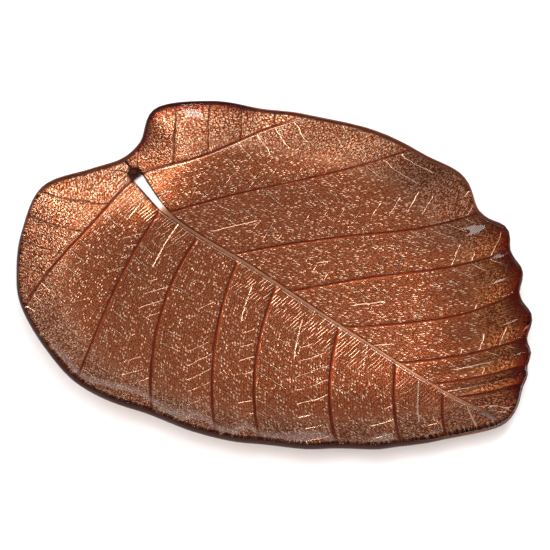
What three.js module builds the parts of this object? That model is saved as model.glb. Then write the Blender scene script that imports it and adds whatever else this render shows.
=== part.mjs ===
// A leaf-shaped serving dish. A slumped sheet of clear glass carries a copper coat and a seal lacquer on its
// underside, and stands on four clear bumper pads. Millimetres, +Z up, +X along the midrib towards the tip.
import * as THREE from "three";
import { mergeVertices } from "three/addons/utils/BufferGeometryUtils.js";

// Plan of the leaf.
const leafLength = 314; // stalk point to the blunt tip
const leafHalfWidth = 150; // midrib to the side margin
const midribSway = 4; // sideways bend of the midrib at the stalk point
const swayLength = 62; // half a wave of that bend, which dies away towards the tip

// Rim, which turns up all round the flat base.
const rimWidth = 54; // breadth of the upturned band
const stalkRise = 20; // height of the margin over the base at the stalk
const tipRise = 10.5; // the same at the tip
const lobeDepth = 6.5; // most that the margin stands out between two veins
const lobeLift = 0.55; // how far a lobe lifts for each millimetre that it stands out
const lobeLean = 1.35; // 1 is an even lobe, and more leans it towards the tip
const panelPuff = 1.4; // swelling of the rim between two veins

// Layers, from the top down.
const glassThickness = 4;
const coatThickness = 0.2;
const lacquerThickness = 0.3;
const bondGap = 0.05; // bond line between two layers, and between the lacquer and a pad
const bareEdge = 0.5; // clear glass between the coat and the rounded edge

// Veins, pressed into both faces of the glass: a groove on top, and a crease below that the coat follows.
const midribHalfWidthAtStalk = 3.2;
const midribHalfWidthAtTip = 1;
const midribGrooveAtStalk = 0.6;
const midribGrooveAtTip = 0.2;
const midribCreaseAtStalk = 1.2;
const midribCreaseAtTip = 0.5;
const veinHalfWidth = 1.3;
const widestFoot = 0.25; // most of the way to the next line that half a vein may take
const veinGroove = 0.2;
const veinCrease = 0.6;

// Bumper pads.
const padDiameter = 10;
const padHeight = 2;
const padRounding = 0.6;
const padReach = 0.47; // share of the way from the midrib to the margin

// Fineness of the facets.
const columnSpacing = 20;
const fewestColumns = 2;
const crestSpacing = 9;
const rowShares = [0.2, 0.4, 0.56, 0.68, 0.79, 0.9]; // rows between the midrib's foot and the coat's edge
const edgeSteps = 4;
const padSides = 20;
const marginSpacing = 2;
const clearRows = 4; // rows where the first vein stands clear of the basal margin
const basalStart = 0.3; // first row of the basal lobe, as a share of a line from the first vein

// Lines run from a root to the margin. along and out give a line's end on the margin, as shares of the
// leaf's length and half width. bow bends it towards the stalk as a share of its own length.
// A basal line leaves the first vein, and its root is a share of that vein.
const basalLine = (root, along, out) => ({ basal: true, root, along, out, bow: 0, lobe: 0 });
// A vein leaves the midrib, and its root is a share of the leaf's length. lobe is the share of the lobe
// depth by which the margin stands out before the next line.
const vein = (root, along, out, bow, lobe) => ({ basal: false, root, along, out, bow, lobe });

// The two sides of the leaf. Its pads stand at padPanels, places counted in lines from the stalk notch.
const stalkNotch = basalLine(0, -0.04, 0.02);
const leafTip = vein(0.965, 1, 0, 0, 0);
const farSide = {
  sign: 1,
  padPanels: [6.5, 8.5],
  lines: [
    stalkNotch,
    basalLine(0.12, -0.05, 0.155),
    basalLine(0.3, -0.11, 0.377),
    basalLine(0.55, -0.031, 0.599),
    basalLine(0.81, 0.066, 0.712),
    vein(0, 0.146, 0.822, 0.075, 0),
    vein(0.102, 0.387, 0.99, 0.04, 1),
    vein(0.293, 0.622, 0.868, 0.035, 0.77),
    vein(0.456, 0.739, 0.765, 0.03, 0.55),
    vein(0.602, 0.823, 0.59, -0.03, 0.69),
    vein(0.746, 0.906, 0.404, 0, 0.28),
    vein(0.828, 0.948, 0.285, 0, 0.15),
    vein(0.886, 0.971, 0.194, 0, 0.09),
    leafTip,
  ],
};
const nearSide = {
  sign: -1,
  padPanels: [6.5, 9.5],
  lines: [
    stalkNotch,
    basalLine(0.12, -0.065, 0.127),
    basalLine(0.3, -0.1, 0.34),
    basalLine(0.55, -0.028, 0.597),
    basalLine(0.81, 0.047, 0.763),
    vein(0, 0.13, 0.889, 0.07, 0),
    vein(0.083, 0.345, 1.009, 0.045, 0.46),
    vein(0.2, 0.506, 0.921, 0.075, 0.37),
    vein(0.312, 0.63, 0.829, 0.055, 0.4),
    vein(0.421, 0.7, 0.734, 0.06, 0.69),
    vein(0.593, 0.81, 0.545, 0.05, 0.62),
    vein(0.739, 0.892, 0.37, 0.03, 0.34),
    vein(0.856, 0.943, 0.219, 0.03, 0.18),
    leafTip,
  ],
};
const firstVein = farSide.lines.findIndex(({ basal }) => !basal);
const lastLine = farSide.lines.length - 1;

// The margin is one closed curve through the ends of all lines, from the stalk notch round the far side
// to the tip and back along the near side.
const lineEnd = (sign) => (line) =>
  new THREE.Vector3(line.along * leafLength, sign * line.out * leafHalfWidth, 0);
const marginKnots = [
  lineEnd(1)(stalkNotch),
  ...farSide.lines.slice(1).map(lineEnd(1)),
  ...nearSide.lines.slice(1, lastLine).reverse().map(lineEnd(-1)),
];
const margin = new THREE.CatmullRomCurve3(marginKnots, true, "centripetal");

// Place u counts lines from the stalk notch at 0 to the tip.
function marginShare(side, u) {
  const place = side.sign > 0 ? u : marginKnots.length - u;
  return (place % marginKnots.length) / marginKnots.length;
}

function outwardAt(side, u) {
  const along = margin.getTangent(marginShare(side, u));
  return new THREE.Vector3(-along.y, along.x, 0).normalize();
}

// The panel that holds place u starts at this line.
function panelOf(u) {
  return Math.min(Math.floor(u), lastLine - 1);
}

function betweenLines(side, u, read) {
  const line = panelOf(u);
  return THREE.MathUtils.lerp(read(side.lines[line]), read(side.lines[line + 1]), u - line);
}

function midribPoint(share) {
  const x = share * leafLength;
  const sway = midribSway * Math.cos((Math.PI * x) / swayLength) * Math.exp(-x / swayLength);
  return new THREE.Vector3(x, sway, 0);
}

// Share along the first vein where a basal line starts. It reaches 1 at the first vein's own end.
function basalRoot(side, u) {
  const line = Math.floor(u);
  const next = line + 1 < firstVein ? side.lines[line + 1].root : 1;
  return THREE.MathUtils.lerp(side.lines[line].root, next, u - line);
}

const midribShare = (side, u) => betweenLines(side, u, (line) => line.root);

function rootPoint(side, u) {
  if (u < firstVein) return planPoint(side, firstVein, basalRoot(side, u));
  return midribPoint(midribShare(side, u));
}

// The top sheet ends half a glass thickness inside the outermost edge, where the rounded edge begins.
function sheetEnd(side, u) {
  const end = margin.getPoint(marginShare(side, u));
  return end.addScaledVector(outwardAt(side, u), -glassThickness / 2);
}

// A lobe is zero at its two veins and fullest a little past halfway, nearer the tip.
function lobeShare(u) {
  return Math.sin(Math.PI * (u - panelOf(u)) ** lobeLean) ** 2;
}

// Point of the plan on line u, at share v of the way from its root to the sheet's end, before the lobes.
function planPoint(side, u, v) {
  const root = rootPoint(side, u);
  const chord = sheetEnd(side, u).sub(root);
  const towardsStalk = new THREE.Vector3(-side.sign * chord.y, side.sign * chord.x, 0);
  const bow = u < firstVein ? 0 : betweenLines(side, u, (line) => line.bow) * 4 * v * (1 - v);
  return root.addScaledVector(chord, v).addScaledVector(towardsStalk, bow);
}

// Distance to the margin, rounded off where two stretches of margin are equally near: each stretch counts by
// the inverse fourth power of its distance, which gives the plain distance beside a straight margin.
const marginCount = Math.round(margin.getLength() / marginSpacing);
const marginPoints = margin.getSpacedPoints(marginCount).slice(1);
function depthInside(x, y) {
  const step = margin.getLength() / marginCount;
  let sum = 0;
  for (const point of marginPoints) {
    sum += step / ((point.x - x) ** 2 + (point.y - y) ** 2) ** 2;
  }
  return Math.cbrt(Math.PI / (2 * sum));
}

// Share of the rim that a point has climbed: 0 on the flat base and 1 at the margin.
const rimShare = (x, y) => Math.max(0, 1 - depthInside(x, y) / rimWidth);

function formHeight(x, y) {
  const along = THREE.MathUtils.clamp(x / leafLength, 0, 1);
  return THREE.MathUtils.lerp(stalkRise, tipRise, along) * rimShare(x, y) ** 2;
}

function formNormal(x, y) {
  const step = 0.5;
  const slopeX = (formHeight(x + step, y) - formHeight(x - step, y)) / (2 * step);
  const slopeY = (formHeight(x, y + step) - formHeight(x, y - step)) / (2 * step);
  return new THREE.Vector3(-slopeX, -slopeY, 1).normalize();
}

// A station of the sheet: its point on the smooth top form, the form's normal, and the depth of the groove
// above and the crease below where a vein runs.
function stationOver({ x, y }, groove, crease) {
  const point = new THREE.Vector3(x, y, formHeight(x, y));
  return { point, normal: formNormal(x, y), groove, crease };
}

function station(side, u, v, groove, crease) {
  const made = stationOver(planPoint(side, u, v), groove, crease);
  const { point } = made;
  if (u >= firstVein) {
    const climbed = rimShare(point.x, point.y);
    const lobe = lobeDepth * side.lines[panelOf(u)].lobe * lobeShare(u) * climbed ** 2;
    point.addScaledVector(outwardAt(side, u), lobe);
    point.z += lobe * lobeLift + panelPuff * lobeShare(u) * climbed;
  }
  return made;
}

// The midrib and the veins taper.
const midribSize = (share, atStalk, atTip) => THREE.MathUtils.lerp(atStalk, atTip, share);
const veinWidthAt = (v) => veinHalfWidth * (1 - v / 2);
const veinTaper = (v) => 1 - v * v;

// Distance from line u's root to its first row: the midrib's foot, or a little way off the first vein.
function firstRowOn(side, u, length) {
  if (u === 0) return midribHalfWidthAtStalk;
  if (u < firstVein) return basalStart * length;
  return midribSize(midribShare(side, u), midribHalfWidthAtStalk, midribHalfWidthAtTip);
}

// Shares v of the rows on line u: the first, the rows over the panel, the coat's edge and the sheet's end.
function rowsOn(side, u) {
  const length = sheetEnd(side, u).distanceTo(rootPoint(side, u));
  const foot = firstRowOn(side, u, length) / length;
  const coatEdge = 1 - bareEdge / length;
  const panel = rowShares.map((share) => THREE.MathUtils.lerp(foot, coatEdge, share));
  return [foot, ...panel, coatEdge, 1];
}
const endRow = rowShares.length + 2;
const coatRow = endRow - 1;

// A column of stations on line u. foot moves it to the vein's edge, on the side of the next line (+1) or
// of the line before (-1). keys are its rows' shares along the line.
function column(side, u, foot) {
  const isVein = foot === 0 && Number.isInteger(u) && u >= firstVein && u < lastLine;
  const keys = rowsOn(side, u);
  const rows = keys.map((v) => {
    let place = u;
    if (foot !== 0) {
      const gap = planPoint(side, u, v).distanceTo(planPoint(side, u + foot, v));
      place = u + foot * Math.min(widestFoot, veinWidthAt(v) / gap);
    }
    const depth = isVein ? veinTaper(v) : 0;
    return station(side, place, v, veinGroove * depth, veinCrease * depth);
  });
  const root = u < firstVein ? basalRoot(side, u) : midribShare(side, u);
  return { root, keys, rows };
}

// Columns inside the panel that starts at a line.
function innerColumns(side, line) {
  const chord = sheetEnd(side, line).distanceTo(sheetEnd(side, line + 1));
  const inner = Math.max(fewestColumns, Math.round(chord / columnSpacing));
  return Array.from({ length: inner }, (_, i) => column(side, line + (i + 1) / (inner + 1), 0));
}

// The edge of the first vein on its basal side, as far out as the vein stands clear of the margin.
function firstVeinFoot(side) {
  const keys = rowsOn(side, firstVein).slice(0, clearRows);
  const back = margin.getTangent(marginShare(side, firstVein)).multiplyScalar(-side.sign);
  const rows = keys.map((v) =>
    stationOver(planPoint(side, firstVein, v).addScaledVector(back, veinWidthAt(v)), 0, 0),
  );
  return { rows };
}

function basalColumns(side) {
  const columns = [];
  for (let line = 0; line < firstVein; line++) {
    columns.push(column(side, line, 0), ...innerColumns(side, line));
  }
  return columns;
}

function bladeColumns(side) {
  const columns = [];
  for (let line = firstVein; line < lastLine; line++) {
    columns.push(column(side, line, 0), column(side, line, 1), ...innerColumns(side, line));
    if (line + 1 < lastLine) columns.push(column(side, line + 1, -1));
  }
  columns.push(column(side, lastLine, 0));
  return columns;
}

const [far, near] = [farSide, nearSide].map((side) => ({
  basal: basalColumns(side),
  foot: firstVeinFoot(side),
  blade: bladeColumns(side),
}));

// Crest of the midrib, from the stalk point to where the tip's own line starts.
const crestSteps = Math.round((leafTip.root * leafLength) / crestSpacing);
const crest = Array.from({ length: crestSteps + 1 }, (_, i) => {
  const root = (leafTip.root * i) / crestSteps;
  const groove = midribSize(root, midribGrooveAtStalk, midribGrooveAtTip);
  const crease = midribSize(root, midribCreaseAtStalk, midribCreaseAtTip);
  return { key: root, station: stationOver(midribPoint(root), groove, crease) };
});

const flip = ([a, b, c]) => [a, c, b];

// Triangles between two runs of stations whose keys rise side by side.
function strip(inner, outer) {
  const triangles = [];
  let i = 0;
  let j = 0;
  while (i < inner.length - 1 || j < outer.length - 1) {
    const innerNext = i < inner.length - 1 ? inner[i + 1].key : Infinity;
    const outerNext = j < outer.length - 1 ? outer[j + 1].key : Infinity;
    if (outerNext <= innerNext) {
      triangles.push([inner[i].station, outer[j + 1].station, outer[j].station]);
      j++;
    } else {
      triangles.push([inner[i].station, inner[i + 1].station, outer[j].station]);
      i++;
    }
  }
  return triangles;
}

// Triangles between neighbouring columns, from one row to another.
function panels(columns, fromRow, toRow) {
  const triangles = [];
  for (let c = 0; c < columns.length - 1; c++) {
    for (let row = fromRow; row < toRow; row++) {
      const [a, b] = [columns[c].rows[row], columns[c + 1].rows[row]];
      const [d, e] = [columns[c].rows[row + 1], columns[c + 1].rows[row + 1]];
      triangles.push([a, b, e], [a, e, d]);
    }
  }
  return triangles;
}

const firstRow = (columns) => columns.map(({ root, rows }) => ({ key: root, station: rows[0] }));

// Triangles of one side out to a row, facing up on the far side: a strip beside the midrib and the panels
// of the blade, then the basal half of the first vein, a strip from its edge to the basal lines, and their
// panels.
function sideTriangles({ basal, foot, blade }, toRow) {
  const [first] = blade;
  const last = basal[basal.length - 1];
  const footRun = [crest[0]];
  const basalRun = firstRow(basal);
  for (let row = 0; row <= coatRow; row++) {
    footRun.push({ key: first.keys[row], station: foot.rows[row] ?? first.rows[row] });
    if (row > 0) basalRun.push({ key: 1, station: last.rows[row] });
  }
  const footEnd = clearRows - 1;
  return [
    ...strip(crest, firstRow(blade)),
    ...panels(blade, 0, toRow),
    [crest[0].station, first.rows[0], foot.rows[0]],
    ...panels([foot, first], 0, footEnd),
    [foot.rows[footEnd], first.rows[footEnd], first.rows[clearRows]],
    ...strip(footRun, basalRun),
    ...panels(basal, 0, toRow),
    ...panels([last, first], coatRow, toRow),
  ];
}

// Triangles of one surface, facing up. place gives a station's point on the surface.
function surface(place, toRow) {
  const stations = [...sideTriangles(far, toRow), ...sideTriangles(near, toRow).map(flip)];
  return stations.map((triangle) => triangle.map(place));
}

// Stations of one row in one loop, from the stalk notch round the far side to the tip and back.
function loop(row) {
  const there = [...far.basal, ...far.blade];
  const back = [...near.basal.slice(1), ...near.blade.slice(0, -1)].reverse();
  return [...there, ...back].map((column) => column.rows[row]);
}

function wall(upper, lower) {
  return upper.flatMap((a, i) => {
    const next = (i + 1) % upper.length;
    return [[a, upper[next], lower[next]], [a, lower[next], lower[i]]];
  });
}

function closedBody(triangles) {
  const geometry = new THREE.BufferGeometry().setFromPoints(triangles.flat());
  const merged = mergeVertices(geometry);
  merged.computeVertexNormals();
  return merged;
}

// Points of a station on the glass top, and at a depth under the smooth form with the crease pressed in.
const onTop = ({ point, normal, groove }) => point.clone().addScaledVector(normal, -groove);
const under = (depth) => ({ point, normal, crease }) =>
  point.clone().addScaledVector(normal, crease - depth);

// Half-round edge of the glass: rings that swing from the top sheet's end to the underside's.
function glassEdgeRings() {
  const ends = loop(endRow);
  const radius = glassThickness / 2;
  return Array.from({ length: edgeSteps + 1 }, (_, step) => {
    const angle = (Math.PI * step) / edgeSteps;
    return ends.map(({ point, normal }, i) => {
      const before = ends[(i + ends.length - 1) % ends.length].point;
      const after = ends[(i + 1) % ends.length].point;
      const along = after.clone().sub(before);
      const outward = new THREE.Vector3().crossVectors(normal, along).normalize();
      return point
        .clone()
        .addScaledVector(outward, radius * Math.sin(angle))
        .addScaledVector(normal, -radius * (1 - Math.cos(angle)));
    });
  });
}

function glassLeaf() {
  const rings = glassEdgeRings();
  const walls = rings.slice(1).flatMap((ring, i) => wall(rings[i], ring));
  const top = surface(onTop, endRow);
  const underside = surface(under(glassThickness), endRow).map(flip);
  return closedBody([...top, ...walls, ...underside]);
}

// A coat of even thickness on the underside, which ends at the bare edge.
function coatLayer(from, thickness) {
  const upper = under(from);
  const lower = under(from + thickness);
  const ends = loop(coatRow);
  const walls = wall(ends.map(upper), ends.map(lower));
  return closedBody([...surface(upper, coatRow), ...walls, ...surface(lower, coatRow).map(flip)]);
}

function bumperPad() {
  const radius = padDiameter / 2;
  const profile = [
    [0, 0],
    [radius - padRounding, 0],
    [radius, padRounding],
    [radius, padHeight],
    [0, padHeight],
  ].map(([x, y]) => new THREE.Vector2(x, y));
  return new THREE.LatheGeometry(profile, padSides).rotateX(Math.PI / 2);
}

// Materials.
const clearGlass = new THREE.MeshStandardMaterial({
  color: 0xf4efec,
  roughness: 0.04,
  metalness: 0,
  transparent: true,
  opacity: 0.25,
});
const copperPaint = new THREE.MeshStandardMaterial({ color: 0xa8603f, roughness: 0.34, metalness: 0.9 });
const sealLacquer = new THREE.MeshStandardMaterial({ color: 0x6b3a28, roughness: 0.5, metalness: 0 });
const padPlastic = new THREE.MeshStandardMaterial({ color: 0xdcdcd8, roughness: 0.3, metalness: 0 });

function piece(name, geometry, material) {
  const mesh = new THREE.Mesh(geometry, material);
  mesh.name = name;
  return mesh;
}

const coatDepth = glassThickness + bondGap;
const lacquerDepth = coatDepth + coatThickness + bondGap;
const leaf = new THREE.Group();
leaf.add(
  piece("glass_leaf", glassLeaf(), clearGlass),
  piece("copper_coat", coatLayer(coatDepth, coatThickness), copperPaint),
  piece("backing_lacquer", coatLayer(lacquerDepth, lacquerThickness), sealLacquer),
);

// The pads sit on flat lands of the lacquer between the veins.
const padSeat = -(lacquerDepth + lacquerThickness + bondGap);
const padPlaces = [farSide, nearSide].flatMap((side) =>
  side.padPanels.map((panel) => planPoint(side, panel, padReach)),
);
padPlaces.forEach((place, i) => {
  const pad = piece(`bumper_pad_${i + 1}`, bumperPad(), padPlastic);
  pad.position.set(place.x, place.y, padSeat - padHeight);
  leaf.add(pad);
});

// The origin lies under the middle of the dish, on the surface that it stands on.
const box = new THREE.Box3().setFromObject(leaf);
const middle = box.getCenter(new THREE.Vector3());
leaf.position.set(-middle.x, -middle.y, -box.min.z);

const dish = new THREE.Group();
dish.add(leaf);
export default dish;
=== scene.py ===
import math

import bpy
import numpy as np
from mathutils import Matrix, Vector


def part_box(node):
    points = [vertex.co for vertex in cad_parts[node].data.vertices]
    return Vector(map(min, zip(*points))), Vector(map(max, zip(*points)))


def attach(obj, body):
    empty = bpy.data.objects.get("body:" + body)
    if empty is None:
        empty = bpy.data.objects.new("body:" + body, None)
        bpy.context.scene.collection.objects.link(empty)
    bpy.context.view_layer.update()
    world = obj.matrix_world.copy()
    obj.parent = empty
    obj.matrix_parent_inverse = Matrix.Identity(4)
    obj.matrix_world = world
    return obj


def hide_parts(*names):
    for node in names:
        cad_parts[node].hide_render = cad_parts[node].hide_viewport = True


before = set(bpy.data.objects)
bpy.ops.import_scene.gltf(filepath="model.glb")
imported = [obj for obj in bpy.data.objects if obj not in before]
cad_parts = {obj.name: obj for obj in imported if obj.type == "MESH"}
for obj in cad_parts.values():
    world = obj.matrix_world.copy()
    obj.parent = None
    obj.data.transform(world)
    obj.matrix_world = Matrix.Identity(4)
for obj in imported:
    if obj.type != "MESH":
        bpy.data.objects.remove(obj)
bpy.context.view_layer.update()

# The camera stands as for the photograph, and aims at a point on top of the flat base.
VIEW_TARGET = Vector((-0.0122, 0.00535, 0.00665))
VIEW_AZIMUTH = math.radians(42.43)
VIEW_ELEVATION = math.radians(45.0)
VIEW_DISTANCE = 1.0
LENS_MM = 100.7
SENSOR_MM = 36.0

look = Vector((
    -math.sin(VIEW_AZIMUTH) * math.cos(VIEW_ELEVATION),
    math.cos(VIEW_AZIMUTH) * math.cos(VIEW_ELEVATION),
    -math.sin(VIEW_ELEVATION),
))
camera = bpy.data.objects.new("camera", bpy.data.cameras.new("camera"))
camera.location = VIEW_TARGET - VIEW_DISTANCE * look
camera.rotation_euler = look.to_track_quat("-Z", "Y").to_euler()
camera.data.lens = LENS_MM
camera.data.sensor_width = SENSOR_MM
camera.data.sensor_fit = "HORIZONTAL"
bpy.context.scene.collection.objects.link(camera)
bpy.context.scene.camera = camera

# The leaf's form, in millimetres, as the solids have it: +X along the midrib towards the tip. Rows beside the
# midrib are at shares of its half width, which is given at shares of the leaf's length.
LEAF_LENGTH = 314.0
LEAF_HALF_WIDTH = 150.0
MIDRIB_SWAY = 4.0
SWAY_LENGTH = 62.0
RIM_WIDTH = 54.0
STALK_RISE = 20.0
TIP_RISE = 10.5
LOBE_DEPTH = 6.5
LOBE_LIFT = 0.55
LOBE_LEAN = 1.35
PANEL_PUFF = 1.4
PUFF_START = 14.0
GLASS_THICKNESS = 4.0
COAT_THICKNESS = 0.2
LACQUER_THICKNESS = 0.3
BOND_GAP = 0.05
BARE_EDGE = 0.5
PAD_HEIGHT = 2.0
MIDRIB_STATIONS = (0.0, 0.12, 1.0)
MIDRIB_STEPS = (0.3, 0.55, 0.69, 0.75, 0.97)
MIDRIB_HALF_WIDTHS = (5.6, 1.65, 0.75)
MIDRIB_FLAT_TOP = 0.72
MIDRIB_FLANK_SLOPE = 0.3
MIDRIB_GROOVE = (0.12, 0.06)
STALK_FACET = (2.0, 27.0)
STALK_FACET_RISE = 0.5
VEIN_HALF_WIDTH = 1.3
VEIN_GROOVE = 0.1
VEIN_CREASE = 0.2
WIDEST_FOOT = 0.25

# Lines from a root to the margin: root, end along the leaf, end out from the midrib, bow and lobe.
ROOT, ALONG, OUT, BOW, LOBE = range(5)
STALK_NOTCH = (0, -0.04, 0.02, 0, 0)
LEAF_TIP = (0.965, 1, 0, 0, 0)
FAR_LINES = (
    STALK_NOTCH,
    (0.12, -0.05, 0.155, 0, 0),
    (0.3, -0.11, 0.377, 0, 0),
    (0.55, -0.031, 0.599, 0, 0),
    (0.81, 0.066, 0.712, 0, 0),
    (0, 0.146, 0.822, 0.075, 0),
    (0.102, 0.387, 0.99, 0.04, 1),
    (0.293, 0.622, 0.868, 0.035, 0.77),
    (0.456, 0.739, 0.765, 0.03, 0.55),
    (0.602, 0.823, 0.59, -0.03, 0.69),
    (0.746, 0.906, 0.404, 0, 0.28),
    (0.828, 0.948, 0.285, 0, 0.15),
    (0.886, 0.971, 0.194, 0, 0.09),
    LEAF_TIP,
)
NEAR_LINES = (
    STALK_NOTCH,
    (0.12, -0.065, 0.127, 0, 0),
    (0.3, -0.1, 0.34, 0, 0),
    (0.55, -0.028, 0.597, 0, 0),
    (0.81, 0.047, 0.763, 0, 0),
    (0, 0.13, 0.889, 0.07, 0),
    (0.083, 0.345, 1.009, 0.045, 0.46),
    (0.2, 0.506, 0.921, 0.075, 0.37),
    (0.312, 0.63, 0.829, 0.055, 0.4),
    (0.421, 0.7, 0.734, 0.06, 0.69),
    (0.593, 0.81, 0.545, 0.05, 0.62),
    (0.739, 0.892, 0.37, 0.03, 0.34),
    (0.856, 0.943, 0.219, 0.03, 0.18),
    LEAF_TIP,
)
FIRST_VEIN = 5
LAST_LINE = len(FAR_LINES) - 1
FAR = {"sign": 1, "lines": np.array(FAR_LINES, float)}
NEAR = {"sign": -1, "lines": np.array(NEAR_LINES, float)}
PLACES = np.arange(LAST_LINE + 1)


def line_ends(side):
    lines = side["lines"]
    return np.stack([lines[:, ALONG] * LEAF_LENGTH, side["sign"] * lines[:, OUT] * LEAF_HALF_WIDTH], -1)


# The margin is one closed curve through the ends of all lines: centripetal splines between neighbours.
KNOTS = np.concatenate([line_ends(FAR), line_ends(NEAR)[LAST_LINE - 1:0:-1]])


def spline_terms(knots):
    before, here, after, beyond = (np.roll(knots, shift, axis=0) for shift in (1, 0, -1, -2))

    def stride(a, b):
        return np.sqrt(np.linalg.norm(b - a, axis=1, keepdims=True))

    d0, d1, d2 = stride(before, here), stride(here, after), stride(after, beyond)
    leave = ((here - before) / d0 - (after - before) / (d0 + d1) + (after - here) / d1) * d1
    arrive = ((after - here) / d1 - (beyond - here) / (d1 + d2) + (beyond - after) / d2) * d1
    return here, leave, 3 * (after - here) - 2 * leave - arrive, 2 * (here - after) + leave + arrive


MARGIN_TERMS = spline_terms(KNOTS)


def margin_at(place):
    """Point and unit direction of the margin at a place counted in knots."""
    start = np.floor(place)
    w = (place - start)[..., None]
    a, b, c, d = (term[start.astype(int) % len(KNOTS)] for term in MARGIN_TERMS)
    point = a + w * (b + w * (c + w * d))
    direction = b + w * (2 * c + 3 * w * d)
    return point, direction / np.linalg.norm(direction, axis=-1, keepdims=True)


def side_margin(side, u):
    """Point of the margin beside place u, and the direction out of the leaf."""
    point, along = margin_at(u if side["sign"] > 0 else len(KNOTS) - u)
    return point, np.stack([-along[..., 1], along[..., 0]], -1)


def inset_margin(side, u, inset):
    point, outward = side_margin(side, u)
    return point - outward * inset


def between_lines(side, u, column):
    return np.interp(u, PLACES, side["lines"][:, column])


def midrib_y(x):
    return MIDRIB_SWAY * np.cos(np.pi * x / SWAY_LENGTH) * np.exp(-x / SWAY_LENGTH)


def midrib_point(share):
    x = share * LEAF_LENGTH
    return np.stack([x, midrib_y(x)], -1)


def plan_point(side, u, v):
    """Point of the blade's plan on line u, at share v of the way from the midrib to the sheet's end."""
    u, v = np.broadcast_arrays(np.asarray(u, float), np.asarray(v, float))
    root = midrib_point(between_lines(side, u, ROOT))
    chord = inset_margin(side, u, GLASS_THICKNESS / 2) - root
    stalkward = side["sign"] * np.stack([-chord[..., 1], chord[..., 0]], -1)
    bow = between_lines(side, u, BOW) * 4 * v * (1 - v)
    return root + chord * v[..., None] + stalkward * bow[..., None]


# Distance to the margin: each stretch of it counts by the inverse fourth power of its distance.
MARGIN_STEPS = 40
marks = margin_at(np.arange(len(KNOTS) * MARGIN_STEPS) / MARGIN_STEPS)[0]
MARGIN_MIDDLES = (marks + np.roll(marks, -1, axis=0)) / 2
MARGIN_LENGTHS = np.linalg.norm(np.roll(marks, -1, axis=0) - marks, axis=1)


def depth_inside(points):
    """Distance of each point to the margin, and its slope along x and y."""
    depth, slope = np.empty(len(points)), np.empty((len(points), 2))
    block = 4000
    for start in range(0, len(points), block):
        offset = points[start:start + block, None] - MARGIN_MIDDLES
        squared = (offset ** 2).sum(-1)
        weight = MARGIN_LENGTHS / squared ** 2
        total = weight.sum(1)
        pull = -4 * (weight[..., None] * offset / squared[..., None]).sum(1)
        near = np.cbrt(np.pi / (2 * total))
        depth[start:start + block] = near
        slope[start:start + block] = -(near / (3 * total))[:, None] * pull
    return depth, slope


def leaf_form(points):
    """Height of the smooth top form, its normal, and the share of the rim that each point has climbed."""
    depth, slope = depth_inside(points)
    climbed = np.maximum(0, 1 - depth / RIM_WIDTH)
    along = np.clip(points[:, 0] / LEAF_LENGTH, 0, 1)
    rise = STALK_RISE + (TIP_RISE - STALK_RISE) * along
    tilt = -(2 * rise * climbed / RIM_WIDTH)[:, None] * slope
    inside = (points[:, 0] > 0) & (points[:, 0] < LEAF_LENGTH)
    tilt[:, 0] += inside * (TIP_RISE - STALK_RISE) / LEAF_LENGTH * climbed ** 2
    normal = np.concatenate([-tilt, np.ones((len(points), 1))], 1)
    return rise * climbed ** 2, normal / np.linalg.norm(normal, axis=1, keepdims=True), climbed


def taper(ends, share):
    return ends[0] + (ends[1] - ends[0]) * share


def bead(distance, half_width):
    """Round cross-section of a vein: 1 on its line and 0 at its edges."""
    return np.maximum(0, 1 - (distance / half_width) ** 2) ** 2


def midrib_half_width(share):
    return np.interp(share, MIDRIB_STATIONS, MIDRIB_HALF_WIDTHS)


def roof(distance, half_width):
    """Cross-section of the midrib: a flat top between two flanks."""
    return np.clip((1 - distance / half_width) / (1 - MIDRIB_FLAT_TOP), 0, 1)


def midrib_distance(points):
    x = np.clip(points[:, 0], 0, LEAF_TIP[ROOT] * LEAF_LENGTH)
    return np.hypot(points[:, 0] - x, points[:, 1] - midrib_y(x))


# Patches of the sheet. A patch is a grid of columns by rows, with what its surface patterns need:
# across and along place a point between two veins, half_width is half the way between them, and
# vein is the distance to the nearest vein's line. All are in millimetres.
FOOT_STEPS = np.array([0.0, 0.5, 1.0])
FOOT_COLUMNS = len(FOOT_STEPS)
FEWEST_COLUMNS = 3


def column_rows(side, nominal, rows):
    """Shares v of the rows on columns at nominal places, and the columns' lengths.

    Rows on the midrib come first, then rows from its foot to the coat's edge, then the sheet's end.
    """
    root = midrib_point(between_lines(side, nominal, ROOT))
    length = np.linalg.norm(inset_margin(side, nominal, GLASS_THICKNESS / 2) - root, axis=-1)
    foot = midrib_half_width(between_lines(side, nominal, ROOT)) / length
    coat = 1 - BARE_EDGE / length
    first = foot[:, None] * np.array(MIDRIB_STEPS)
    panel = foot[:, None] + (coat - foot)[:, None] * np.linspace(0, 1, rows)
    return np.concatenate([first, panel, np.ones((len(nominal), 1))], 1), length


def vein_width(v):
    return VEIN_HALF_WIDTH * (1 - v / 2)


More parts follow.
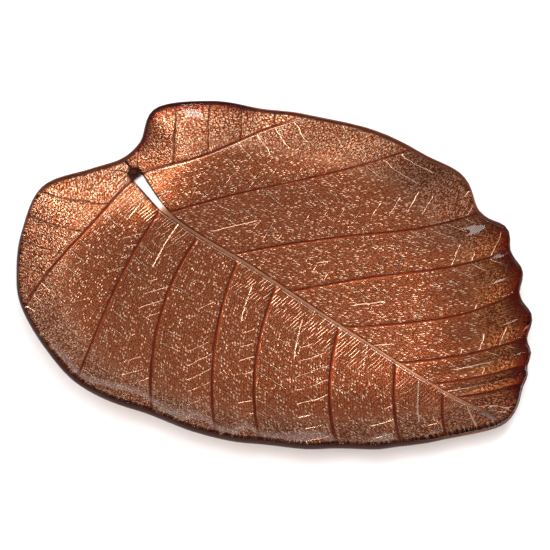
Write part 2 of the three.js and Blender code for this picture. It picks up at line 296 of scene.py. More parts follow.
def blade_patch(side, line, spacing, rows):
    """The panel between two veins. Its columns run from the midrib to the sheet's end."""
    ends = inset_margin(side, np.array([line, line + 1.0]), 0)
    inner = max(FEWEST_COLUMNS, round(np.linalg.norm(ends[1] - ends[0]) / spacing))
    steps = np.arange(1, inner + 1) / (inner + 1)
    last = line + 1 == LAST_LINE
    right = np.zeros(1) if last else FOOT_STEPS[::-1]
    nominal = np.concatenate([np.full(FOOT_COLUMNS, line), line + steps, np.full(len(right), line + 1.0)])
    v, length = column_rows(side, nominal, rows)
    here, there = plan_point(side, line, v), plan_point(side, line + 1, v)
    gap = np.linalg.norm(there - here, axis=-1)
    foot = np.minimum(WIDEST_FOOT, vein_width(v) / gap)
    right_foot = np.zeros_like(foot) if last else foot
    u = np.empty_like(v)
    first, inside = slice(FOOT_COLUMNS), slice(FOOT_COLUMNS, FOOT_COLUMNS + inner)
    end = slice(FOOT_COLUMNS + inner, None)
    u[first] = line + FOOT_STEPS[:, None] * foot[first]
    u[inside] = line + foot[inside] + (1 - foot - right_foot)[inside] * steps[:, None]
    u[end] = line + 1 - right[:, None] * right_foot[end]
    share = u - line
    across = (share - 0.5) * gap
    vein = np.where(last | (share < 0.5), share, 1 - share) * gap
    lobe_share = np.sin(np.pi * share ** LOBE_LEAN) ** 2
    started = np.clip(v * length[:, None] / PUFF_START, 0, 1)
    return {
        "plan": plan_point(side, u, v),
        "outward": side_margin(side, u)[1],
        "lobe": LOBE_DEPTH * side["lines"][line, LOBE] * lobe_share,
        "puff": PANEL_PUFF * lobe_share * started ** 2 * (3 - 2 * started),
        "vein": vein,
        "vein_width": vein_width(v),
        "vein_depth": 1 - v ** 2,
        "across": across,
        "along": v * length[:, None],
        "half_width": gap / 2,
        "root": between_lines(side, u[:, 0], ROOT),
    }


# In the basal lobes half_width is this much more than across, which tells them from the panels.
BASAL_BEND = 200.0


def basal_patch(side, first_v, rows):
    """The lobe between the first vein and the stalk notch. Its columns leave the first vein's own rows."""
    coat = first_v[-2]
    w = np.concatenate([[0.0], first_v[:-1]])
    roots = np.append(side["lines"][:FIRST_VEIN, ROOT], 1.0)
    u = np.interp(w / coat, roots, PLACES[:FIRST_VEIN + 1])
    start = plan_point(side, FIRST_VEIN, w)
    inset = GLASS_THICKNESS / 2 + BARE_EDGE
    end = inset_margin(side, u, inset)
    closing = np.clip(u - FIRST_VEIN + 1, 0, 1)[:, None] ** 2
    end = end + closing * (start[-1] - end[-1])
    length = np.linalg.norm(end - start, axis=1)
    width = vein_width(w)
    foot = np.minimum(WIDEST_FOOT, width / np.maximum(length, 1e-6))
    shares = np.linspace(0, 1, rows)
    v = np.concatenate([foot[:, None] * FOOT_STEPS[:2], foot[:, None] + (1 - foot)[:, None] * shares], 1)
    plan = start[:, None] + (end - start)[:, None] * v[..., None]
    edge = inset_margin(side, u, GLASS_THICKNESS / 2)
    edge[-1] = plan_point(side, FIRST_VEIN, 1.0)
    plan = np.concatenate([plan, edge[:, None]], 1)
    along = np.concatenate([v * length[:, None], length[:, None] + BARE_EDGE], 1)
    chord = (start[-1] - start[0]) / np.linalg.norm(start[-1] - start[0])
    out = plan - start[0]
    across = out @ chord
    apart = out @ np.array([-chord[1], chord[0]]) * side["sign"]
    flat = np.zeros(plan.shape[:2])
    return {
        "plan": plan,
        "outward": np.zeros_like(plan),
        "lobe": flat,
        "puff": flat,
        "vein": along,
        "vein_width": np.broadcast_to(width[:, None], along.shape),
        "vein_depth": np.broadcast_to(1 - w[:, None] ** 2, along.shape),
        "across": across,
        "along": apart,
        "half_width": np.abs(across) + BASAL_BEND,
        "root": w,
    }


# Columns of a surface's pattern, and a map's unit in millimetres.
ACROSS, ALONG_VEIN, HALF_WIDTH, MIDRIB, VEIN, CLIMBED = range(6)
MAP_UNIT = 100.0


def lift_patch(patch):
    """A patch's points on the smooth form, with their normals, grooves, creases and patterns, row by row."""
    shape = patch["plan"].shape[:2]
    plan = patch["plan"].reshape(-1, 2)
    height, normal, climbed = leaf_form(plan)
    lobe = patch["lobe"].ravel() * climbed ** 2
    spread = plan + patch["outward"].reshape(-1, 2) * lobe[:, None]
    rise = height + lobe * LOBE_LIFT + patch["puff"].ravel() * climbed
    share = np.clip(plan[:, 0] / LEAF_LENGTH, 0, 1)
    midrib = midrib_distance(plan)
    stem_half = midrib_half_width(share)
    stem = roof(midrib, stem_half)
    facet = np.interp(plan[:, 0], STALK_FACET, (0, 1))
    stem_height = stem_half * (1 - MIDRIB_FLAT_TOP) * MIDRIB_FLANK_SLOPE
    stem_height += STALK_FACET_RISE * 4 * facet * (1 - facet)
    twig = bead(patch["vein"].ravel(), patch["vein_width"].ravel()) * patch["vein_depth"].ravel()
    return {
        "shape": shape,
        "root": patch["root"],
        "point": np.concatenate([spread, rise[:, None]], 1),
        "normal": normal,
        "groove": np.maximum(stem * taper(MIDRIB_GROOVE, share), twig * VEIN_GROOVE),
        "crease": np.maximum(stem * stem_height, twig * VEIN_CREASE),
        "pattern": np.stack([
            patch["across"].ravel(),
            patch["along"].ravel(),
            patch["half_width"].ravel(),
            np.copysign(midrib, plan[:, 1] - midrib_y(plan[:, 0])),
            patch["vein"].ravel(),
            climbed,
        ], 1),
    }


def lift_crest(spacing):
    """The midrib's own line, as a patch of one row."""
    count = round(LEAF_TIP[ROOT] * LEAF_LENGTH / spacing)
    share = np.linspace(0, LEAF_TIP[ROOT], count + 1)
    plan = midrib_point(share)
    flat = np.zeros((count + 1, 1))
    patch = {
        "plan": plan[:, None],
        "outward": np.zeros((count + 1, 1, 2)),
        "lobe": flat,
        "puff": flat,
        "vein": flat + VEIN_HALF_WIDTH,
        "vein_width": flat + VEIN_HALF_WIDTH,
        "vein_depth": flat,
        "across": flat,
        "along": flat,
        "half_width": flat,
        "root": share,
    }
    return lift_patch(patch)


def grid_faces(shape, start):
    columns, rows = shape
    index = start + np.arange(columns * rows).reshape(columns, rows)
    return np.stack([index[:-1, :-1], index[1:, :-1], index[1:, 1:], index[:-1, 1:]], -1).reshape(-1, 4)


def strip_faces(inner, inner_keys, outer, outer_keys):
    """Triangles between two runs of vertices whose keys rise side by side."""
    faces, i, j = [], 0, 0
    while i < len(inner) - 1 or j < len(outer) - 1:
        inner_next = inner_keys[i + 1] if i < len(inner) - 1 else math.inf
        outer_next = outer_keys[j + 1] if j < len(outer) - 1 else math.inf
        if outer_next <= inner_next:
            faces.append((inner[i], outer[j + 1], outer[j], outer[j]))
            j += 1
        else:
            faces.append((inner[i], inner[i + 1], outer[j], outer[j]))
            i += 1
    return np.array(faces)


class LeafSurface:
    """The leaf's sheet as one welded surface, facing up, out to where the glass's edge begins to round."""

    def __init__(self, spacing, rows, basal_rows):
        self.parts, self.faces, self.count = [], [], 0
        crest = self.add(lift_crest(spacing))
        for side in (FAR, NEAR):
            first_v = column_rows(side, np.array([float(FIRST_VEIN)]), rows)[0][0]
            run, keys, faces = [], [], []
            for line in range(FIRST_VEIN, LAST_LINE):
                patch = lift_patch(blade_patch(side, line, spacing, rows))
                start = self.add(patch)
                columns, total = patch["shape"]
                faces.append(grid_faces(patch["shape"], start))
                run.extend(start + total * np.arange(columns))
                keys.extend(patch["root"])
            faces.append(strip_faces(np.arange(crest, self.crest_end), self.crest_keys, run, keys))
            basal = lift_patch(basal_patch(side, first_v, basal_rows))
            start = self.add(basal)
            faces.append(grid_faces(basal["shape"], start))
            for group in faces:
                self.faces.append(group if side is FAR else group[:, [0, 3, 2, 1]])
        self.weld()

    def add(self, part):
        start = self.count
        self.parts.append(part)
        self.count += part["shape"][0] * part["shape"][1]
        if start == 0:
            self.crest_end, self.crest_keys = self.count, part["root"]
        return start

    def weld(self):
        """Joins the parts at the points they share. Each face keeps the pattern of its own part."""
        joined = {
            key: np.concatenate([part[key] for part in self.parts])
            for key in ("point", "normal", "groove", "crease", "pattern")
        }
        corners = np.concatenate(self.faces)
        _, first, same = np.unique(joined["point"].round(3), axis=0, return_index=True, return_inverse=True)
        welded = same.reshape(-1)[corners]
        faces, patterns = [], []
        for ids, sources in zip(welded.tolist(), corners.tolist()):
            corner_of = {}
            for point, source in zip(ids, sources):
                corner_of.setdefault(point, source)
            if len(corner_of) > 2:
                faces.append(list(corner_of))
                patterns.append(self.face_pattern(joined["pattern"], np.array(list(corner_of.values()))))
        used = np.unique(np.concatenate(faces))
        renumber = np.full(len(first), -1)
        renumber[used] = np.arange(len(used))
        self.polygons = [[int(renumber[i]) for i in face] for face in faces]
        for key in ("point", "normal", "groove", "crease"):
            setattr(self, key, joined[key][first][used])
        self.corner_patterns = np.concatenate(patterns)
        self.rim = self.boundary()

    def face_pattern(self, pattern, corners):
        """Pattern at a face's corners. The midrib's own line takes across and half_width from beside it."""
        values = pattern[corners]
        crest = corners < self.crest_end
        if crest.any() and not crest.all():
            for column in (ACROSS, HALF_WIDTH):
                values[crest, column] = values[~crest, column][0]
        return values

    def boundary(self):
        """Edges on the rim, each in the direction of its own face."""
        seen = {}
        for face in self.polygons:
            for a, b in zip(face, face[1:] + face[:1]):
                if (b, a) in seen:
                    del seen[b, a]
                else:
                    seen[a, b] = True
        return list(seen)

    def top(self, depth=0.0):
        return self.point - self.normal * (self.groove + depth)[:, None]

    def under(self, depth):
        return self.point + self.normal * (self.crease - depth)[:, None]


# Bodies. The leaf's frame is moved so that its box centre in plan and the pads' feet are at the origin.
LIFT = PAD_HEIGHT + LACQUER_THICKNESS + COAT_THICKNESS + GLASS_THICKNESS + 3 * BOND_GAP


def mesh_object(name, points, faces, maps=None, crisp=None):
    """A smooth body. Each map has values for the first corners, and one pair for all corners beyond them."""
    mesh = bpy.data.meshes.new(name)
    mesh.from_pydata(points.tolist(), [], faces)
    mesh.polygons.foreach_set("use_smooth", [True] * len(faces))
    for label, (values, beyond) in (maps or {}).items():
        layer = mesh.uv_layers.new(name=label)
        padded = np.tile(np.array(beyond, float), (len(mesh.loops), 1))
        padded[:len(values)] = values
        layer.uv.foreach_set("vector", padded.ravel())
    if crisp is not None:
        mesh.set_sharp_from_angle(angle=math.radians(crisp))
    piece = bpy.data.objects.new(name, mesh)
    bpy.context.scene.collection.objects.link(piece)
    return piece


def rim_frame(surface):
    """Vertices on the rim in any order, their directions out of the leaf, and their places by vertex."""
    outward = np.zeros_like(surface.point)
    for a, b in surface.rim:
        side = np.cross(surface.point[b] - surface.point[a], surface.normal[a] + surface.normal[b])
        outward[a] += side
        outward[b] += side
    ids = np.array(sorted({a for a, _ in surface.rim}))
    outward = outward[ids] / np.linalg.norm(outward[ids], axis=1, keepdims=True)
    return ids, outward, {int(i): n for n, i in enumerate(ids)}


def ring_faces(surface, place, upper, lower):
    """Faces between two rings of vertices that run along the rim, facing out of the leaf."""
    return [
        [int(upper[place[b]]), int(upper[place[a]]), int(lower[place[a]]), int(lower[place[b]])]
        for a, b in surface.rim
    ]


def rounded_sheet(surface, top, under, steps):
    """The sheet between two copies of a surface, closed by a half-round edge."""
    count = len(top)
    ids, outward, place = rim_frame(surface)
    middle = (top[ids] + under[ids]) / 2
    half = (top[ids] - under[ids]) / 2
    radius = np.linalg.norm(half, axis=1, keepdims=True)
    faces = surface.polygons + [[i + count for i in reversed(face)] for face in surface.polygons]
    blocks, ring = [top, under], ids
    for step in range(1, steps):
        angle = math.pi * step / steps
        following = 2 * count + (step - 1) * len(ids) + np.arange(len(ids))
        blocks.append(middle + half * math.cos(angle) + outward * radius * math.sin(angle))
        faces += ring_faces(surface, place, ring, following)
        ring = following
    faces += ring_faces(surface, place, ring, ids + count)
    return np.concatenate(blocks), faces


def wrapped_sheet(surface, inner_depth, outer_depth, steps):
    """A thin film under the glass that goes on around its half-round edge."""
    count = len(surface.point)
    ids, outward, place = rim_frame(surface)
    normal = surface.normal[ids]
    wrap = np.radians(np.interp(surface.point[ids, :1], CLEAR_TIP, WRAP))
    centre = surface.point[ids] - normal * GLASS_THICKNESS / 2
    blocks = [surface.under(inner_depth), surface.under(outer_depth)]
    faces = surface.polygons + [[i + count for i in reversed(face)] for face in surface.polygons]
    inner, outer = ids, ids + count
    total = 2 * count
    for step in range(1, steps + 1):
        turn = wrap * step / steps
        way = outward * np.sin(turn) - normal * np.cos(turn)
        inner_next = total + np.arange(len(ids))
        outer_next = inner_next + len(ids)
        total += 2 * len(ids)
        blocks += [centre + way * (depth - GLASS_THICKNESS / 2) for depth in (inner_depth, outer_depth)]
        faces += ring_faces(surface, place, inner, inner_next)
        faces += ring_faces(surface, place, outer_next, outer)
        inner, outer = inner_next, outer_next
    faces += ring_faces(surface, place, inner, outer)
    return np.concatenate(blocks), faces


def pattern_maps(surface):
    """The film's maps. Beyond its upper face, they put it far from all veins and past the top of the rim."""
    pattern = surface.corner_patterns / MAP_UNIT
    return {
        "panel": (pattern[:, [ACROSS, ALONG_VEIN]], (0, 0)),
        "veins": (pattern[:, [VEIN, MIDRIB]], (0.5, 1)),
        "span": (pattern[:, [HALF_WIDTH, CLIMBED]], (0.2, 0.0105)),
    }


# The coat is set a little into the glass, so that no air shows between them. Coat and lacquer go around the
# edge by the first angle, in degrees, and by the second at the tip, where the edge stays clear.
EMBED = 0.03
WRAP = (115.0, 45.0)
CLEAR_TIP = (285.0, 305.0)
EDGE_STEPS = 8
FILM_CRISP = 50
fine = LeafSurface(spacing=2.0, rows=84, basal_rows=30)
coarse = LeafSurface(spacing=5.0, rows=36, basal_rows=14)
points, faces = rounded_sheet(fine, fine.top(), fine.under(GLASS_THICKNESS), EDGE_STEPS)
middle = (points.max(0) + points.min(0)) / 2
LEAF_ORIGIN = np.array([middle[0], middle[1], -LIFT])


def in_metres(points):
    return (points - LEAF_ORIGIN) / 1000


glass_sheet = mesh_object("glass_sheet", in_metres(points), faces)
coat_depth = GLASS_THICKNESS + BOND_GAP + COAT_THICKNESS
points, faces = wrapped_sheet(fine, GLASS_THICKNESS - EMBED, coat_depth, EDGE_STEPS)
copper_film = mesh_object("copper_film", in_metres(points), faces, pattern_maps(fine), FILM_CRISP)
lacquer_depth = coat_depth + BOND_GAP
points, faces = wrapped_sheet(coarse, lacquer_depth, lacquer_depth + LACQUER_THICKNESS, EDGE_STEPS)
lacquer_film = mesh_object("lacquer_film", in_metres(points), faces, crisp=FILM_CRISP)


def lathe(name, profile, sides, centre):
    """A turned body from (radius, height) pairs that start and end on the axis."""
    turns = 2 * np.pi * np.arange(sides) / sides
    rings = [np.stack([r * np.cos(turns), r * np.sin(turns), np.full(sides, z)], 1) for r, z in profile[1:-1]]
    points = np.concatenate([[[0, 0, profile[0][1]]], *rings, [[0, 0, profile[-1][1]]]]) + np.array(centre)
    faces, last = [], len(points) - 1
    for i in range(sides):
        j = (i + 1) % sides
        faces.append([0, 1 + j, 1 + i])
        for ring in range(len(rings) - 1):
            low, high = 1 + ring * sides, 1 + (ring + 1) * sides
            faces.append([low + i, low + j, high + j, high + i])
        top = 1 + (len(rings) - 1) * sides
        faces.append([top + i, top + j, last])
    return mesh_object(name, points, faces, crisp=PAD_CRISP)


PAD_ROUNDING = 0.0006
PAD_SIDES = 40
PAD_CRISP = 60
PAD_BEND = [math.radians(angle) for angle in range(0, 91, 15)]
pads = []
for number in range(1, 5):
    low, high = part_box(f"bumper_pad_{number}")
    radius = (high.x - low.x) / 2
    profile = [(0.0, low.z)]
    profile += [
        (radius - PAD_ROUNDING * (1 - math.sin(angle)), low.z + PAD_ROUNDING * (1 - math.cos(angle)))
        for angle in PAD_BEND
    ]
    profile += [(radius, high.z), (0.0, high.z)]
    centre = ((low.x + high.x) / 2, (low.y + high.y) / 2, 0)
    pads.append(lathe(f"pad_{number}", profile, PAD_SIDES, centre))


# Materials.
class Shade:
    """One output in a material's nodes. Arithmetic on it adds the nodes it needs."""

    def __init__(self, paint, socket):
        self.paint = paint
        self.socket = socket

    def output(self, label):
        """Another output of the same node."""
        return Shade(self.paint, self.socket.node.outputs[label])

    def math(self, operation, *values):
        return self.paint.node("ShaderNodeMath", {"operation": operation}, dict(enumerate(values)))

    def __add__(self, other):
        return self.math("ADD", self, other)

    def __radd__(self, other):
        return self.math("ADD", other, self)

    def __sub__(self, other):
        return self.math("SUBTRACT", self, other)

    def __rsub__(self, other):
        return self.math("SUBTRACT", other, self)

    def __mul__(self, other):
        return self.math("MULTIPLY", self, other)

    def __rmul__(self, other):
        return self.math("MULTIPLY", other, self)

    def __truediv__(self, other):
        return self.math("DIVIDE", self, other)

    def __rtruediv__(self, other):
        return self.math("DIVIDE", other, self)

    def __pow__(self, other):
        return self.math("POWER", self, other)

    def __rpow__(self, other):
        return self.math("POWER", other, self)

    def __abs__(self):
        return self.math("ABSOLUTE", self)

    def most(self, other):
        return self.math("MAXIMUM", self, other)

    def fraction(self):
        return self.math("FRACT", self)


class Paint:
    """The nodes of a material, or of the world, under construction."""

    def __init__(self, owner):
        self.owner = owner
        owner.use_nodes = True
        self.tree = owner.node_tree
        self.tree.nodes.clear()

    def node(self, kind, settings=None, sockets=None, output=0):
        made = self.tree.nodes.new(kind)
        for key, value in (settings or {}).items():
            setattr(made, key, value)
        for key, value in (sockets or {}).items():
            if isinstance(value, Shade):
                self.tree.links.new(value.socket, made.inputs[key])
            else:
                made.inputs[key].default_value = value
        return Shade(self, made.outputs[output]) if made.outputs else None

    def coordinates(self, kind):
        return self.node("ShaderNodeTexCoord", output=kind)

    def parts(self, vector):
        split = self.node("ShaderNodeSeparateXYZ", None, {0: vector})
        return [split.output(axis) for axis in "XYZ"]

    def vector(self, x, y):
        return self.node("ShaderNodeCombineXYZ", None, {0: x, 1: y})

    def map(self, label):
        """The two values of one of the mesh's maps, in millimetres."""
        first, second, _ = self.parts(self.node("ShaderNodeUVMap", {"uv_map": label}))
        return first * MAP_UNIT, second * MAP_UNIT

    def rays(self):
        """1 for what is seen straight by the camera, in a mirror and through glass, and 0 otherwise."""
        path = self.node("ShaderNodeLightPath")
        return [path.output(f"Is {kind} Ray") for kind in ("Camera", "Glossy", "Transmission")]

    def rise(self, value, low, high):
        """0 to 1 as value goes from low to high, with soft ends."""
        return self.node("ShaderNodeMapRange", {"interpolation_type": "SMOOTHSTEP"},
                         {"Value": value, "From Min": low, "From Max": high})

    def line(self, distance, half_width):
        """A ridge with flat flanks: 1 on its line, and 0 from half_width on."""
        return (1 - abs(distance) / half_width).most(0)

    def lines(self, value, pitch, half_width):
        """Such ridges once a pitch."""
        away = (1 - abs((value / pitch).fraction() - 0.5) * 2) * (pitch / 2)
        return self.line(away, half_width)

    def noise(self, vector, scale, detail, output="Fac"):
        sockets = {"Vector": vector, "Scale": scale, "Detail": detail}
        return self.node("ShaderNodeTexNoise", None, sockets, output)

    def cloud(self, first, second, pitch):
        """Plain noise with its own pitch each way."""
        return self.noise(self.vector(first / pitch[0], second / pitch[1]), 1.0, 0)

    def grid(self, feature, randomness, first, second, pitch):
        """A loose grid of cells with its own pitch each way."""
        return self.node("ShaderNodeTexVoronoi", {"voronoi_dimensions": "2D", "feature": feature}, {
            "Vector": self.vector(first / pitch[0], second / pitch[1]),
            "Scale": 1.0,
            "Randomness": randomness,
        })

    def borders(self, first, second, pitch):
        """Ridges with flat flanks along the borders of a grid's cells, 1 on their lines."""
        return self.line(self.grid("DISTANCE_TO_EDGE", 0.9, first, second, pitch), 0.2)

    def cells(self, first, second, pitch):
        """Distance to the middle of a grid's nearest cell, and that cell's own chance from 0 to 1."""
        distance = self.grid("F1", 0.6, first, second, pitch)
        chance, _, _ = self.parts(distance.output("Color"))
        return distance, chance

    def mix(self, share, a, b):
        return self.node("ShaderNodeMix", {"data_type": "RGBA"}, {0: share, 6: a, 7: b}, 2)

    def between(self, share, a, b):
        return self.node("ShaderNodeMix", {"data_type": "FLOAT"}, {0: share, 2: a, 3: b})

    def bump(self, height, distance, strength):
        sockets = {"Strength": strength, "Distance": distance, "Height": height}
        return self.node("ShaderNodeBump", None, sockets)

    def finished(self, sockets):
        """The material, with these values on its surface."""
        self.surface(self.node("ShaderNodeBsdfPrincipled", None, sockets))
        return self.owner

    def surface(self, shader):
        self.node("ShaderNodeOutputMaterial", None, {"Surface": shader})


# Colours of the coat: its cells, the marks on them, the midrib, and its painted shade and highlights.
CELL_BORDER = (0.41, 0.076, 0.014, 1)
CELL_MIDDLE = (0.67, 0.255, 0.12, 1)
RIM_CELL = (0.48, 0.10, 0.020, 1)
# On the upturned rim the gold is a painted highlight, strongest on the lobes; its dark borders are painted
# shade on real ridges.
RIM_HIGHLIGHT_GOLD = (0.88, 0.53, 0.33, 1)
LOBE_HIGHLIGHT_GOLD = (1.0, 0.45, 0.17, 1)
RIM_BORDER = (0.20, 0.032, 0.010, 1)
TIP_SHADE = (0.22, 0.030, 0.007, 1)
# Cream on the dots, dashes, ridges and faint veins: a painted glint over their real relief.
PAINTED_GLINT_CREAM = (0.98, 0.67, 0.465, 1)
VEIN_RED = (0.22, 0.024, 0.007, 1)
STEM_COPPER = (0.80, 0.34, 0.18, 1)
# White on the midrib's top by the stalk: a painted highlight.
STALK_HIGHLIGHT_WHITE = (1.0, 0.96, 0.90, 1)
# The midrib's near flank and far foot line are painted shade; the line by its near foot is a painted
# highlight.
STEM_FLANK_SHADE = (0.22, 0.036, 0.010, 1)
STEM_EDGE_HIGHLIGHT = (0.98, 0.76, 0.60, 1)
STEM_EDGE_SHADE = (0.13, 0.022, 0.008, 1)
# Painted shade: a pool by the stalk, the margin's dark red, the edge's red at the lobes and notch, and the
# stalk's pit.
STALK_SHADE_BROWN = (0.30, 0.075, 0.026, 1)
MARGIN_SHADE_RED = (0.22, 0.012, 0.003, 1)
EDGE_COPPER = (0.40, 0.10, 0.04, 1)
EDGE_SHADE_RED = (0.16, 0.02, 0.008, 1)
PIT_SHADE_BROWN = (0.05, 0.010, 0.004, 1)

# Sizes of the coat's marks in millimetres. A pitch goes across a panel and along it.
CELL_PITCH = (1.5, 1.9)
DOT_PITCH = (1.9, 3.3)
DOT_CLOUD_PITCH = (5.0, 7.0)
DASH_PITCH = (2.2, 8.0)
DASH_HALF_WIDTH = 0.48
DASH_LEAN = 0.03
RIDGE_PITCH = 12.0
RIDGE_HALF_WIDTH = 0.6
RIDGE_LEAN = 0.6
MIDDLE_VEIN_HALF_WIDTH = 0.8
RIM_CELL_PITCH = (2.9, 1.9)
TWIG_PITCH = 26.0
TWIG_HALF_WIDTH = 0.9
TWIG_LEAN = 0.5
CELL_STIR = 1.6
DASH_STIR = 1.4
RIDGE_STIR = 3.0
TWIG_STIR = 3.0

# Heights of the coat's marks in millimetres.
GRAIN_HEIGHT = 0.03
CELL_HEIGHT = 0.02
DOT_HEIGHT = 0.07
RIDGE_HEIGHT = 0.16
RIM_BORDER_HEIGHT = 0.085
TWIG_HEIGHT = 0.2

# Noise, in waves a metre.
PATCH_NOISE = 24
RIDGE_NOISE = 45
STIR_NOISE = 110
SPECK_NOISE = 650
GRAIN_NOISE = 900

# Ends of soft changes, as shares of the climb up the rim.
UPTURNED = (0.35, 0.7)
LOBE_MARGIN = (0.76, 0.95)
NOTCH_MARGIN = (0.86, 0.99)
THIN_MARGIN = (0.975, 1.0)
EDGE_TURN = (1.0, 1.03)

# Ends of soft changes, in millimetres along the midrib, away from it, and along a panel.
TIPWARD = (140.0, 270.0)
DASHES_THIN_OUT = (170.0, 260.0)
STALK_END = (30.0, 23.0)
PIT_END = (1.5, -1.0)
DASH_REACH = (34.0, 14.0)
RIDGE_START = (16.0, 36.0)
PIT_REACH = (8.0, 5.0)
MIDDLE_VEIN_END = (52.0, 40.0)
TWIG_END = (60.0, 40.0)

# Places from the dish's middle, in millimetres: the lobes, whose rim has painted highlight gold and painted
# shade, the stalk's notch, and a pool of painted shade by the stalk with the squares of its radii.
LOBES_X, LOBES_Y = (45.0, 90.0), (0.0, 30.0)
NOTCH_X, NOTCH_Y = (-118.0, -132.0), (0.0, 30.0)
STALK_SHADE_X, STALK_SHADE_Y, STALK_SHADE_SQUARES = -131.0, 14.0, (600.0, 100.0)

# The painted midrib's half width: it narrows fast along the stalk, and slowly from there to the tip.
STALK_HALF_WIDTH = 5.6
STALK_NARROWING = 0.1048
STEM_HALF_WIDTH = 1.82
STEM_NARROWING = 1.07
STEM_TOP = 0.75


class CopperPaint(Paint):
    """Copper film pressed into the glass's vein net: fine cells, with dots, dashes and ridges on them, which
    carry a painted cream glint.

    Places are in millimetres. A mark is 1 where it shows and 0 elsewhere.
    """

    def __init__(self):
        super().__init__(bpy.data.materials.new("copper_paint"))
        self.across, self.along = self.map("panel")
        self.vein, self.side = self.map("veins")
        self.half_width, self.climbed = self.map("span")
        self.place = self.coordinates("Object")
        self.x, self.y = (axis * 1000 for axis in self.parts(self.place)[:2])
        self.stem_place = self.x + LEAF_ORIGIN[0]
        self.midrib = abs(self.side)
        self.patch = self.noise(self.place, PATCH_NOISE, 0)
        stir = self.parts(self.noise(self.place, STIR_NOISE, 2, "Color"))
        self.stir_x, self.stir_y, self.stir_z = (part - 0.5 for part in stir)
        self.sideways = self.across + self.stir_x * CELL_STIR
        self.onwards = self.along + self.stir_y * CELL_STIR
        self.bend = self.half_width - abs(self.across)
        self.row = self.along + (self.across - self.bend) * RIDGE_LEAN + self.stir_y * RIDGE_STIR
        self.basal = self.rise(self.bend, BASAL_BEND * 0.8, BASAL_BEND * 0.9)
        self.near_side = self.rise(self.side, 0.5, -0.5)
        self.upturned = self.rise(self.climbed, *UPTURNED)
        self.tipward = self.rise(self.stem_place, *TIPWARD)
        self.stalk = self.rise(self.stem_place, *STALK_END)

    def dots(self):
        """Pale dots in loose lines along the veins, fewer on the far rim and towards the tip. Their paleness
        is a painted glint over small bumps.
        """
        distance, chance = self.cells(self.sideways, self.onwards, DOT_PITCH)
        cloud = self.rise(self.cloud(self.sideways, self.onwards, DOT_CLOUD_PITCH), 0.38, 0.6)
        dots = self.rise(distance, 0.42, 0.14) * self.rise(chance, 0.12, 0.75) * (0.35 + 0.65 * cloud)
        dots = dots * (1 - 0.6 * self.upturned * (1 - self.near_side * (1 - self.basal)))
        return dots * (1 - 0.25 * self.tipward)

    def dashes(self):
        """Dashes across the midrib on its near side, and the ground where they take the dots' place."""
        lean = self.stem_place + self.side * DASH_LEAN + self.stir_x * DASH_STIR
        ground = self.near_side * self.rise(self.midrib, *DASH_REACH) * self.rise(self.patch, 0.38, 0.46)
        ground = ground * (1 - 0.45 * self.rise(self.stem_place, *DASHES_THIN_OUT))
        broken = self.rise(self.cloud(lean, self.midrib, DASH_PITCH), 0.40, 0.54)
        return self.lines(lean, DASH_PITCH[0], DASH_HALF_WIDTH) * ground * broken * 0.75, ground

    def ridges(self):
        """Ridges across the outer part of each panel, bent towards the margin in its middle."""
        broken = self.rise(self.noise(self.place, RIDGE_NOISE, 0), 0.46, 0.54)
        ridges = self.lines(self.row, RIDGE_PITCH, RIDGE_HALF_WIDTH) * broken
        ridges = ridges * self.rise(self.midrib, *RIDGE_START)
        return ridges * (1 - self.basal) * self.rise(abs(self.across), 1.5, 5)

    def middle_veins(self):
        """One faint vein along the middle of a wide panel's inner part."""
        veins = self.line(self.sideways, MIDDLE_VEIN_HALF_WIDTH) * self.rise(self.along, *MIDDLE_VEIN_END)
        return veins * self.rise(self.half_width, 6, 9) * (1 - self.basal) * self.rise(self.patch, 0.46, 0.54)

    def twigs(self):
        """Small veins in the lobes beside the stalk."""
        slant = self.across - self.along * TWIG_LEAN + self.stir_x * TWIG_STIR
        return self.lines(slant, TWIG_PITCH, TWIG_HALF_WIDTH) * self.basal * self.rise(self.along, *TWIG_END)

    def vein_side_highlight(self):
        """A painted highlight: the pale line on the tip's side of the first far vein."""
        line = self.line(self.vein - 2.1, 0.7) * self.rise(self.across, 0.5, -0.5) * (1 - self.basal)
        return line * self.rise(self.stem_place - self.side * 0.4, 22, 10) * self.rise(self.side, 3, 9)

    def stem_half_width(self):
        share = self.node("ShaderNodeMath", {"operation": "DIVIDE", "use_clamp": True},
                          {0: self.stem_place, 1: LEAF_LENGTH})
        slow = STEM_HALF_WIDTH - STEM_NARROWING * share
        return slow.most(STALK_HALF_WIDTH - self.stem_place * STALK_NARROWING)

    def cell_color(self, pebble, borders, lobes):
        """Brown cells on the flat base, and golden ones between dark borders on the upturned rim: the gold is
        a painted highlight, and the borders, real ridges, are darkened as painted shade.
        """
        speck = self.rise(self.noise(self.place, SPECK_NOISE, 1), 0.4, 0.62)
        # Painted highlight: gold on the upturned rim.
        rim_highlight = self.mix(speck, RIM_CELL, self.mix(lobes, RIM_HIGHLIGHT_GOLD, LOBE_HIGHLIGHT_GOLD))
        color = self.mix(self.upturned, self.mix(pebble, CELL_BORDER, CELL_MIDDLE), rim_highlight)
        color = self.mix(self.tipward * 0.2, color, TIP_SHADE)
        # Painted shade: dark borders on the rim's ridges.
        return self.mix(borders, color, RIM_BORDER)

    def stem_color(self, color, stem, half_width):
        """The midrib over a colour: its smooth top, its near flank darkened as painted shade, a pale line
        along its near foot as a painted highlight, and a dark line along its far foot as painted shade.
        """
        beyond = 1 - self.stalk
        # Painted highlight: the midrib's top turns white by the stalk.
        top = self.mix(self.stalk, STEM_COPPER, STALK_HIGHLIGHT_WHITE)
        color = self.mix(stem * (0.9 + 0.1 * self.stalk), color, top)
        # Painted shade on the near flank.
        flank = self.rise(self.side + half_width * STEM_TOP, 0.0, -0.2)
        flank = flank * self.rise(self.midrib - half_width, 0.2, -0.3) * beyond
        color = self.mix(flank * 0.5, color, STEM_FLANK_SHADE)
